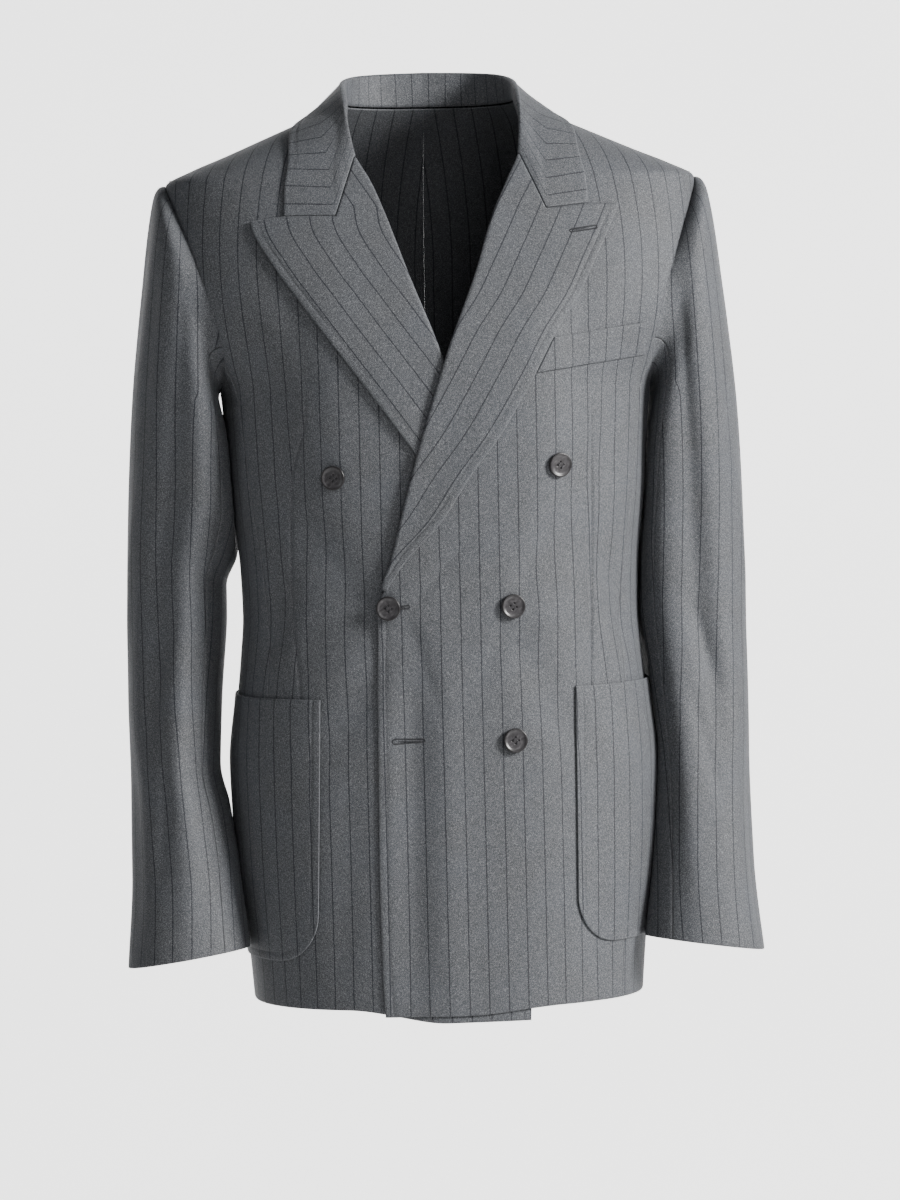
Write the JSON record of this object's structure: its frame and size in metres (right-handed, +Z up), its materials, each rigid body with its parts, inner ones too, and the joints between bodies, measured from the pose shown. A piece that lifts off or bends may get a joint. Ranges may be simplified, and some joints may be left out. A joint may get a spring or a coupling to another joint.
{
  "type": "double breasted blazer",
  "caption": "Double breasted blazer in its worn, hollow form, with wide peak lapels, patch pockets, a breast welt and plain sleeves; open at neck, hem and cuffs.",
  "frame": {"origin": "middle of the neck base, level with the two points where the shoulder seams meet the neck", "axes": "+Z up along the wearer's height, +X to the wearer's left, the front faces -Y"},
  "size_m": [0.5427, 0.2641, 0.805],
  "materials": {
    "suiting": "brushed grey melange suiting with fine near-black stripes",
    "button": "satin, near-black, horn-like"
  },
  "bodies": {
    "root": {"front_left": "suiting", "front_right": "suiting", "side_left": "suiting", "side_right": "suiting", "back_left": "suiting", "back_right": "suiting", "lapel_left": "suiting", "lapel_right": "suiting", "top_sleeve_left": "suiting", "top_sleeve_right": "suiting", "under_sleeve_left": "suiting", "under_sleeve_right": "suiting", "pocket_left": "suiting", "pocket_right": "suiting", "collar": "suiting", "breast_welt": "suiting", "button_chest_left": "button", "button_chest_right": "button", "button_waist_left": "button", "button_waist_right": "button", "button_low_left": "button"}
  },
  "joints": []
}
